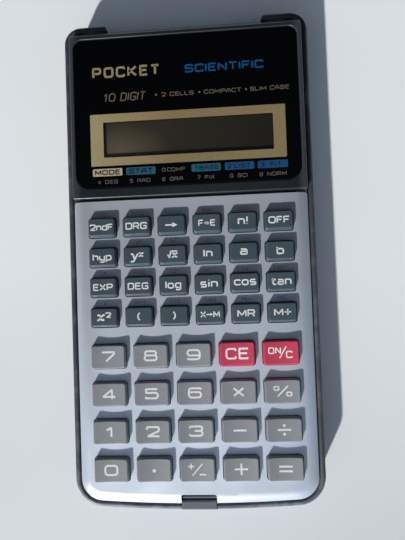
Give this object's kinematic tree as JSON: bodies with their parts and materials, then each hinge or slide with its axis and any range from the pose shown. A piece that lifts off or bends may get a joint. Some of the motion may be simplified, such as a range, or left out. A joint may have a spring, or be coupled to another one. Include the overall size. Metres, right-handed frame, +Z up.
{
  "type": "pocket calculator",
  "caption": "Slim scientific pocket calculator with a black display window, silver keyboard plate and sprung keys, lying in its clip-on hard case.",
  "frame": {"origin": "on the table under the middle of the hard case", "axes": "+Y towards the display end, +X to the right of the keyboard, +Z up out of the keys"},
  "size_m": [0.076, 0.1504, 0.0132],
  "materials": {
    "case_plastic": "fine satin grain",
    "slate_plastic": "satin",
    "silver_plate": "satin silver paint",
    "window_acrylic": "polished, printed black behind",
    "lcd": "satin polariser",
    "inner_plastic": "natural",
    "connector_rubber": "matt",
    "board": "solder resist",
    "chip_resin": "gloss resin",
    "keypad_rubber": "matt silicone",
    "cell_steel": "nickel plated",
    "contact_metal": "spring plate",
    "screw_steel": "zinc plated",
    "dark_key": "satin",
    "grey_key": "satin",
    "red_key": "satin"
  },
  "bodies": {
    "case": {"hard_case": "case_plastic"},
    "latch": {"case_latch": "case_plastic"},
    "calculator": {"rear_cover": "slate_plastic", "front_frame": "slate_plastic", "keyboard_plate": "silver_plate", "display_window": "window_acrylic", "lcd_glass": "lcd", "lcd_holder": "inner_plastic", "lcd_connector_strip": "connector_rubber", "circuit_board": "board", "controller_chip": "chip_resin", "rubber_keypad": "keypad_rubber", "button_cells": "cell_steel", "battery_contacts": "contact_metal", "cover_screws": "screw_steel", "board_screws": "screw_steel"},
    "key_2nd": {"key_2nd": "dark_key"},
    "key_drg": {"key_drg": "dark_key"},
    "key_right_arrow": {"key_right_arrow": "dark_key"},
    "key_f_e": {"key_f_e": "dark_key"},
    "key_factorial": {"key_factorial": "dark_key"},
    "key_off": {"key_off": "dark_key"},
    "key_hyp": {"key_hyp": "dark_key"},
    "key_power": {"key_power": "dark_key"},
    "key_root": {"key_root": "dark_key"},
    "key_ln": {"key_ln": "dark_key"},
    "key_a": {"key_a": "dark_key"},
    "key_b": {"key_b": "dark_key"},
    "key_exp": {"key_exp": "dark_key"},
    "key_deg": {"key_deg": "dark_key"},
    "key_log": {"key_log": "dark_key"},
    "key_sin": {"key_sin": "dark_key"},
    "key_cos": {"key_cos": "dark_key"},
    "key_tan": {"key_tan": "dark_key"},
    "key_square": {"key_square": "dark_key"},
    "key_open_bracket": {"key_open_bracket": "dark_key"},
    "key_close_bracket": {"key_close_bracket": "dark_key"},
    "key_store": {"key_store": "dark_key"},
    "key_recall": {"key_recall": "dark_key"},
    "key_memory_plus": {"key_memory_plus": "dark_key"},
    "key_7": {"key_7": "grey_key"},
    "key_8": {"key_8": "grey_key"},
    "key_9": {"key_9": "grey_key"},
    "key_ce": {"key_ce": "red_key"},
    "key_on_c": {"key_on_c": "red_key"},
    "key_4": {"key_4": "grey_key"},
    "key_5": {"key_5": "grey_key"},
    "key_6": {"key_6": "grey_key"},
    "key_multiply": {"key_multiply": "grey_key"},
    "key_percent": {"key_percent": "grey_key"},
    "key_1": {"key_1": "grey_key"},
    "key_2": {"key_2": "grey_key"},
    "key_3": {"key_3": "grey_key"},
    "key_minus": {"key_minus": "grey_key"},
    "key_divide": {"key_divide": "grey_key"},
    "key_0": {"key_0": "grey_key"},
    "key_point": {"key_point": "grey_key"},
    "key_sign": {"key_sign": "grey_key"},
    "key_plus": {"key_plus": "grey_key"},
    "key_equals": {"key_equals": "grey_key"}
  },
  "joints": [
    {"name": "calculator_tilt", "type": "hinge", "parent": "case", "child": "calculator", "pos_m": [0, 0.0734, 0.0093], "axis": [-1, 0, 0], "range_deg": [0, 60]},
    {"name": "latch_flex", "type": "hinge", "parent": "case", "child": "latch", "pos_m": [0, -0.074, 0.001], "axis": [1, 0, 0], "range_deg": [0, 7], "stiffness_Nm_per_rad": 0.15, "springref_deg": -1.72},
    {"name": "key_2nd_press", "type": "slide", "parent": "calculator", "child": "key_2nd", "axis": [0, 0, -1], "range_m": [0, 0.0009], "stiffness_N_per_m": 600, "springref_m": -0.0004, "deforming": ["rubber_keypad"]},
    {"name": "key_drg_press", "type": "slide", "parent": "calculator", "child": "key_drg", "axis": [0, 0, -1], "range_m": [0, 0.0009], "stiffness_N_per_m": 600, "springref_m": -0.0004, "deforming": ["rubber_keypad"]},
    {"name": "key_right_arrow_press", "type": "slide", "parent": "calculator", "child": "key_right_arrow", "axis": [0, 0, -1], "range_m": [0, 0.0009], "stiffness_N_per_m": 600, "springref_m": -0.0004, "deforming": ["rubber_keypad"]},
    {"name": "key_f_e_press", "type": "slide", "parent": "calculator", "child": "key_f_e", "axis": [0, 0, -1], "range_m": [0, 0.0009], "stiffness_N_per_m": 600, "springref_m": -0.0004, "deforming": ["rubber_keypad"]},
    {"name": "key_factorial_press", "type": "slide", "parent": "calculator", "child": "key_factorial", "axis": [0, 0, -1], "range_m": [0, 0.0009], "stiffness_N_per_m": 600, "springref_m": -0.0004, "deforming": ["rubber_keypad"]},
    {"name": "key_off_press", "type": "slide", "parent": "calculator", "child": "key_off", "axis": [0, 0, -1], "range_m": [0, 0.0009], "stiffness_N_per_m": 600, "springref_m": -0.0004, "deforming": ["rubber_keypad"]},
    {"name": "key_hyp_press", "type": "slide", "parent": "calculator", "child": "key_hyp", "axis": [0, 0, -1], "range_m": [0, 0.0009], "stiffness_N_per_m": 600, "springref_m": -0.0004, "deforming": ["rubber_keypad"]},
    {"name": "key_power_press", "type": "slide", "parent": "calculator", "child": "key_power", "axis": [0, 0, -1], "range_m": [0, 0.0009], "stiffness_N_per_m": 600, "springref_m": -0.0004, "deforming": ["rubber_keypad"]},
    {"name": "key_root_press", "type": "slide", "parent": "calculator", "child": "key_root", "axis": [0, 0, -1], "range_m": [0, 0.0009], "stiffness_N_per_m": 600, "springref_m": -0.0004, "deforming": ["rubber_keypad"]},
    {"name": "key_ln_press", "type": "slide", "parent": "calculator", "child": "key_ln", "axis": [0, 0, -1], "range_m": [0, 0.0009], "stiffness_N_per_m": 600, "springref_m": -0.0004, "deforming": ["rubber_keypad"]},
    {"name": "key_a_press", "type": "slide", "parent": "calculator", "child": "key_a", "axis": [0, 0, -1], "range_m": [0, 0.0009], "stiffness_N_per_m": 600, "springref_m": -0.0004, "deforming": ["rubber_keypad"]},
    {"name": "key_b_press", "type": "slide", "parent": "calculator", "child": "key_b", "axis": [0, 0, -1], "range_m": [0, 0.0009], "stiffness_N_per_m": 600, "springref_m": -0.0004, "deforming": ["rubber_keypad"]},
    {"name": "key_exp_press", "type": "slide", "parent": "calculator", "child": "key_exp", "axis": [0, 0, -1], "range_m": [0, 0.0009], "stiffness_N_per_m": 600, "springref_m": -0.0004, "deforming": ["rubber_keypad"]},
    {"name": "key_deg_press", "type": "slide", "parent": "calculator", "child": "key_deg", "axis": [0, 0, -1], "range_m": [0, 0.0009], "stiffness_N_per_m": 600, "springref_m": -0.0004, "deforming": ["rubber_keypad"]},
    {"name": "key_log_press", "type": "slide", "parent": "calculator", "child": "key_log", "axis": [0, 0, -1], "range_m": [0, 0.0009], "stiffness_N_per_m": 600, "springref_m": -0.0004, "deforming": ["rubber_keypad"]},
    {"name": "key_sin_press", "type": "slide", "parent": "calculator", "child": "key_sin", "axis": [0, 0, -1], "range_m": [0, 0.0009], "stiffness_N_per_m": 600, "springref_m": -0.0004, "deforming": ["rubber_keypad"]},
    {"name": "key_cos_press", "type": "slide", "parent": "calculator", "child": "key_cos", "axis": [0, 0, -1], "range_m": [0, 0.0009], "stiffness_N_per_m": 600, "springref_m": -0.0004, "deforming": ["rubber_keypad"]},
    {"name": "key_tan_press", "type": "slide", "parent": "calculator", "child": "key_tan", "axis": [0, 0, -1], "range_m": [0, 0.0009], "stiffness_N_per_m": 600, "springref_m": -0.0004, "deforming": ["rubber_keypad"]},
    {"name": "key_square_press", "type": "slide", "parent": "calculator", "child": "key_square", "axis": [0, 0, -1], "range_m": [0, 0.0009], "stiffness_N_per_m": 600, "springref_m": -0.0004, "deforming": ["rubber_keypad"]},
    {"name": "key_open_bracket_press", "type": "slide", "parent": "calculator", "child": "key_open_bracket", "axis": [0, 0, -1], "range_m": [0, 0.0009], "stiffness_N_per_m": 600, "springref_m": -0.0004, "deforming": ["rubber_keypad"]},
    {"name": "key_close_bracket_press", "type": "slide", "parent": "calculator", "child": "key_close_bracket", "axis": [0, 0, -1], "range_m": [0, 0.0009], "stiffness_N_per_m": 600, "springref_m": -0.0004, "deforming": ["rubber_keypad"]},
    {"name": "key_store_press", "type": "slide", "parent": "calculator", "child": "key_store", "axis": [0, 0, -1], "range_m": [0, 0.0009], "stiffness_N_per_m": 600, "springref_m": -0.0004, "deforming": ["rubber_keypad"]},
    {"name": "key_recall_press", "type": "slide", "parent": "calculator", "child": "key_recall", "axis": [0, 0, -1], "range_m": [0, 0.0009], "stiffness_N_per_m": 600, "springref_m": -0.0004, "deforming": ["rubber_keypad"]},
    {"name": "key_memory_plus_press", "type": "slide", "parent": "calculator", "child": "key_memory_plus", "axis": [0, 0, -1], "range_m": [0, 0.0009], "stiffness_N_per_m": 600, "springref_m": -0.0004, "deforming": ["rubber_keypad"]},
    {"name": "key_7_press", "type": "slide", "parent": "calculator", "child": "key_7", "axis": [0, 0, -1], "range_m": [0, 0.0009], "stiffness_N_per_m": 600, "springref_m": -0.0004, "deforming": ["rubber_keypad"]},
    {"name": "key_8_press", "type": "slide", "parent": "calculator", "child": "key_8", "axis": [0, 0, -1], "range_m": [0, 0.0009], "stiffness_N_per_m": 600, "springref_m": -0.0004, "deforming": ["rubber_keypad"]},
    {"name": "key_9_press", "type": "slide", "parent": "calculator", "child": "key_9", "axis": [0, 0, -1], "range_m": [0, 0.0009], "stiffness_N_per_m": 600, "springref_m": -0.0004, "deforming": ["rubber_keypad"]},
    {"name": "key_ce_press", "type": "slide", "parent": "calculator", "child": "key_ce", "axis": [0, 0, -1], "range_m": [0, 0.0009], "stiffness_N_per_m": 600, "springref_m": -0.0004, "deforming": ["rubber_keypad"]},
    {"name": "key_on_c_press", "type": "slide", "parent": "calculator", "child": "key_on_c", "axis": [0, 0, -1], "range_m": [0, 0.0009], "stiffness_N_per_m": 600, "springref_m": -0.0004, "deforming": ["rubber_keypad"]},
    {"name": "key_4_press", "type": "slide", "parent": "calculator", "child": "key_4", "axis": [0, 0, -1], "range_m": [0, 0.0009], "stiffness_N_per_m": 600, "springref_m": -0.0004, "deforming": ["rubber_keypad"]},
    {"name": "key_5_press", "type": "slide", "parent": "calculator", "child": "key_5", "axis": [0, 0, -1], "range_m": [0, 0.0009], "stiffness_N_per_m": 600, "springref_m": -0.0004, "deforming": ["rubber_keypad"]},
    {"name": "key_6_press", "type": "slide", "parent": "calculator", "child": "key_6", "axis": [0, 0, -1], "range_m": [0, 0.0009], "stiffness_N_per_m": 600, "springref_m": -0.0004, "deforming": ["rubber_keypad"]},
    {"name": "key_multiply_press", "type": "slide", "parent": "calculator", "child": "key_multiply", "axis": [0, 0, -1], "range_m": [0, 0.0009], "stiffness_N_per_m": 600, "springref_m": -0.0004, "deforming": ["rubber_keypad"]},
    {"name": "key_percent_press", "type": "slide", "parent": "calculator", "child": "key_percent", "axis": [0, 0, -1], "range_m": [0, 0.0009], "stiffness_N_per_m": 600, "springref_m": -0.0004, "deforming": ["rubber_keypad"]},
    {"name": "key_1_press", "type": "slide", "parent": "calculator", "child": "key_1", "axis": [0, 0, -1], "range_m": [0, 0.0009], "stiffness_N_per_m": 600, "springref_m": -0.0004, "deforming": ["rubber_keypad"]},
    {"name": "key_2_press", "type": "slide", "parent": "calculator", "child": "key_2", "axis": [0, 0, -1], "range_m": [0, 0.0009], "stiffness_N_per_m": 600, "springref_m": -0.0004, "deforming": ["rubber_keypad"]},
    {"name": "key_3_press", "type": "slide", "parent": "calculator", "child": "key_3", "axis": [0, 0, -1], "range_m": [0, 0.0009], "stiffness_N_per_m": 600, "springref_m": -0.0004, "deforming": ["rubber_keypad"]},
    {"name": "key_minus_press", "type": "slide", "parent": "calculator", "child": "key_minus", "axis": [0, 0, -1], "range_m": [0, 0.0009], "stiffness_N_per_m": 600, "springref_m": -0.0004, "deforming": ["rubber_keypad"]},
    {"name": "key_divide_press", "type": "slide", "parent": "calculator", "child": "key_divide", "axis": [0, 0, -1], "range_m": [0, 0.0009], "stiffness_N_per_m": 600, "springref_m": -0.0004, "deforming": ["rubber_keypad"]},
    {"name": "key_0_press", "type": "slide", "parent": "calculator", "child": "key_0", "axis": [0, 0, -1], "range_m": [0, 0.0009], "stiffness_N_per_m": 600, "springref_m": -0.0004, "deforming": ["rubber_keypad"]},
    {"name": "key_point_press", "type": "slide", "parent": "calculator", "child": "key_point", "axis": [0, 0, -1], "range_m": [0, 0.0009], "stiffness_N_per_m": 600, "springref_m": -0.0004, "deforming": ["rubber_keypad"]},
    {"name": "key_sign_press", "type": "slide", "parent": "calculator", "child": "key_sign", "axis": [0, 0, -1], "range_m": [0, 0.0009], "stiffness_N_per_m": 600, "springref_m": -0.0004, "deforming": ["rubber_keypad"]},
    {"name": "key_plus_press", "type": "slide", "parent": "calculator", "child": "key_plus", "axis": [0, 0, -1], "range_m": [0, 0.0009], "stiffness_N_per_m": 600, "springref_m": -0.0004, "deforming": ["rubber_keypad"]},
    {"name": "key_equals_press", "type": "slide", "parent": "calculator", "child": "key_equals", "axis": [0, 0, -1], "range_m": [0, 0.0009], "stiffness_N_per_m": 600, "springref_m": -0.0004, "deforming": ["rubber_keypad"]}
  ]
}
